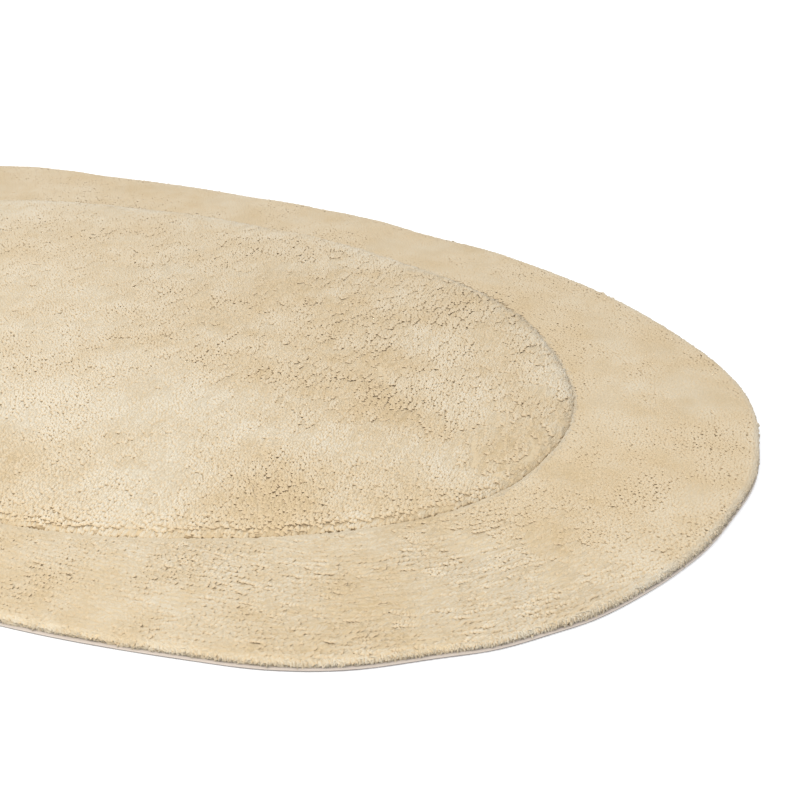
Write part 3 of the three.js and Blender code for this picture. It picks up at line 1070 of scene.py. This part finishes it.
def in_sectors(columns, count):
    """The locks in a number of sectors round the rug's middle, for pieces of a moderate size."""
    bearing = np.arctan2(columns[0][:, 1] * LENGTH / WIDTH, columns[0][:, 0])
    order = np.argsort(bearing)
    return [[column[part] for column in columns] for part in np.array_split(order, count)]


def noise(tree, place, scale, roughness):
    """Noise that changes over a place."""
    node = tree.nodes.new("ShaderNodeTexNoise")
    node.inputs["Detail"].default_value = 3
    node.inputs["Roughness"].default_value = roughness
    tree.links.new(place, node.inputs["Vector"])
    tree.links.new(scale, node.inputs["Scale"])
    return node.outputs["Fac"]


def spread_out(tree, value, low, high, to_low=0, to_high=1):
    """A value's range from low to high, spread out over another."""
    node = tree.nodes.new("ShaderNodeMapRange")
    node.inputs["From Min"].default_value = low
    node.inputs["From Max"].default_value = high
    node.inputs["To Min"].default_value = to_low
    node.inputs["To Max"].default_value = to_high
    tree.links.new(value, node.inputs["Value"])
    return node.outputs["Result"]


def blend(tree, share, none, full):
    """A colour between two, by a share."""
    node = tree.nodes.new("ShaderNodeMix")
    node.data_type = "RGBA"
    tree.links.new(share, node.inputs["Factor"])
    tree.links.new(none, node.inputs["A"])
    tree.links.new(full, node.inputs["B"])
    return node.outputs["Result"]


def cotton_group():
    """Cotton fibre: patches of tone over the rug, fine grain, a root colour that paints shade low down, and
    the height of the grain.
    """
    tree = bpy.data.node_groups.new("cotton_fibre", "ShaderNodeTree")
    for name, kind in (
        ("Light", "NodeSocketColor"),
        ("Dark", "NodeSocketColor"),
        ("Root", "NodeSocketColor"),
        ("Tone", "NodeSocketFloat"),
        ("Tip", "NodeSocketFloat"),
        ("Strand", "NodeSocketVector"),
        ("Patch Scale", "NodeSocketFloat"),
        ("Grain Scale", "NodeSocketFloat"),
    ):
        tree.interface.new_socket(name=name, in_out="INPUT", socket_type=kind)
    tree.interface.new_socket(name="Color", in_out="OUTPUT", socket_type="NodeSocketColor")
    tree.interface.new_socket(name="Height", in_out="OUTPUT", socket_type="NodeSocketFloat")
    given = tree.nodes.new("NodeGroupInput").outputs
    made = tree.nodes.new("NodeGroupOutput").inputs
    place = tree.nodes.new("ShaderNodeTexCoord").outputs["Object"]
    patch = spread_out(tree, noise(tree, place, given["Patch Scale"], 0.6), 0.32, 0.68)
    grain = noise(tree, given["Strand"], given["Grain Scale"], 0.7)
    varied = tree.nodes.new("ShaderNodeMath")
    varied.operation = "MULTIPLY_ADD"
    varied.inputs[1].default_value = 0.2
    tree.links.new(patch, varied.inputs[0])
    tree.links.new(spread_out(tree, grain, 0.3, 0.7, -0.25, 0.05), varied.inputs[2])
    whole = tree.nodes.new("ShaderNodeMath")
    whole.operation = "ADD"
    whole.use_clamp = True
    tree.links.new(given["Tone"], whole.inputs[0])
    tree.links.new(varied.outputs["Value"], whole.inputs[1])
    face = blend(tree, whole.outputs["Value"], given["Dark"], given["Light"])
    # Where Tip is low the colour turns to the root colour: painted shade low between locks, in the crease and
    # at the hem's foot.
    depth = spread_out(tree, given["Tip"], 0.1, 0.6)
    tree.links.new(blend(tree, depth, given["Root"], face), made["Color"])
    tree.links.new(grain, made["Height"])
    return tree


def cotton_material(name, group, light, dark, root, patch_scale, grain_scale, bump, marked):
    """A matt cotton material. The inputs named in marked are attributes of the piece."""
    material = bpy.data.materials.new(name)
    material.use_nodes = True
    nodes = material.node_tree.nodes
    links = material.node_tree.links
    shader = nodes["Principled BSDF"]
    shader.inputs["Roughness"].default_value = 0.95
    shader.inputs["Specular IOR Level"].default_value = 0.15
    shader.inputs["Sheen Weight"].default_value = 0.25
    shader.inputs["Sheen Roughness"].default_value = 0.6
    fibre = nodes.new("ShaderNodeGroup")
    fibre.node_tree = group
    fibre.inputs["Light"].default_value = (*light, 1)
    fibre.inputs["Dark"].default_value = (*dark, 1)
    fibre.inputs["Root"].default_value = (*root, 1)
    fibre.inputs["Tone"].default_value = 0.5
    fibre.inputs["Patch Scale"].default_value = patch_scale
    fibre.inputs["Grain Scale"].default_value = grain_scale
    for socket in marked:
        attribute = nodes.new("ShaderNodeAttribute")
        attribute.attribute_name = socket.lower()
        output = "Vector" if socket == "Strand" else "Fac"
        links.new(attribute.outputs[output], fibre.inputs[socket])
    if "Strand" not in marked:
        place = nodes.new("ShaderNodeTexCoord")
        links.new(place.outputs["Object"], fibre.inputs["Strand"])
    links.new(fibre.outputs["Color"], shader.inputs["Base Color"])
    raised = nodes.new("ShaderNodeBump")
    raised.inputs["Strength"].default_value = bump
    raised.inputs["Distance"].default_value = 0.0006
    links.new(fibre.outputs["Height"], raised.inputs["Height"])
    links.new(raised.outputs["Normal"], shader.inputs["Normal"])
    return material


def camera():
    """The camera where the photograph was taken from."""
    lens = bpy.data.cameras.new("camera")
    lens.sensor_width = SENSOR_WIDTH
    lens.lens = FOCAL_PIXELS / PHOTO_PIXELS * SENSOR_WIDTH
    lens.clip_start = 0.01
    lens.clip_end = 100
    stand = bpy.data.objects.new("camera", lens)
    bpy.context.scene.collection.objects.link(stand)
    stand.location = to_metres(CAMERA_PLACE)
    stand.rotation_euler = (math.radians(90 - CAMERA_DOWN), 0, math.radians(CAMERA_HEADING))
    bpy.context.scene.camera = stand


def soft_light(name, place, size, watts, colour):
    """A square soft light that faces the rug."""
    lamp = bpy.data.lights.new(name, "AREA")
    lamp.shape = "SQUARE"
    lamp.size = size
    lamp.energy = watts
    lamp.color = colour
    stand = bpy.data.objects.new(name, lamp)
    bpy.context.scene.collection.objects.link(stand)
    stand.location = place
    stand.rotation_euler = (-Vector(place)).to_track_quat("-Z", "Y").to_euler()


def studio_floor():
    """A plain pale floor that glows a little, so that shadows on it stay faint."""
    bm = bmesh.new()
    bmesh.ops.create_grid(bm, x_segments=1, y_segments=1, size=15)
    mesh = bpy.data.meshes.new("floor")
    bm.to_mesh(mesh)
    bm.free()
    paint = bpy.data.materials.new("floor_paint")
    paint.use_nodes = True
    shader = paint.node_tree.nodes["Principled BSDF"]
    shader.inputs["Base Color"].default_value = (0.93, 0.93, 0.935, 1)
    shader.inputs["Roughness"].default_value = 0.9
    shader.inputs["Emission Color"].default_value = (1, 1, 1, 1)
    shader.inputs["Emission Strength"].default_value = 0.3
    mesh.materials.append(paint)
    floor = bpy.data.objects.new("floor", mesh)
    bpy.context.scene.collection.objects.link(floor)


def studio():
    """A pale floor under plain soft light."""
    scene = bpy.context.scene
    scene.view_settings.view_transform = "Standard"
    world = bpy.data.worlds.new("studio")
    world.use_nodes = True
    background = world.node_tree.nodes["Background"]
    background.inputs["Color"].default_value = (0.95, 0.975, 1, 1)
    background.inputs["Strength"].default_value = 0.82
    scene.world = world
    studio_floor()
    soft_light("softbox", place=(-0.6, -2, 2.2), size=2, watts=54, colour=(1, 0.96, 0.87))
    soft_light("fill", place=(2.3, -1.7, 1.3), size=2, watts=24, colour=(1, 1, 1))


camera()
studio()

fibre = cotton_group()
lock_cotton = cotton_material(
    "lock_cotton",
    fibre,
    light=IVORY,
    dark=HONEY,
    root=TAN,
    patch_scale=11,
    grain_scale=1,
    bump=0.35,
    marked=("Tone", "Tip", "Strand"),
)
ground_cotton = cotton_material(
    "ground_cotton",
    fibre,
    light=GROUND_LIGHT,
    dark=GROUND_DARK,
    root=GROUND_CREASE_SHADE,
    patch_scale=11,
    grain_scale=900,
    bump=0.35,
    marked=("Tip",),
)
canvas_cotton = cotton_material(
    "canvas_cotton",
    fibre,
    light=CANVAS_LIGHT,
    dark=CANVAS_DARK,
    root=HEM_FOOT_SHADE,
    patch_scale=20,
    grain_scale=700,
    bump=0.5,
    marked=("Tip",),
)

canvas = canvas_piece(canvas_cotton)
ground = pile_ground(ground_cotton)
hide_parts("tufted_pile")

for kind, columns, sectors in (
    ("field_locks", field_locks(), 3),
    ("border_locks", border_locks(), 3),
    ("crease_locks", crease_locks(), 1),
):
    for number, part in enumerate(in_sectors(columns, sectors), start=1):
        joined_locks(f"{kind}_{number}", part, lock_cotton)
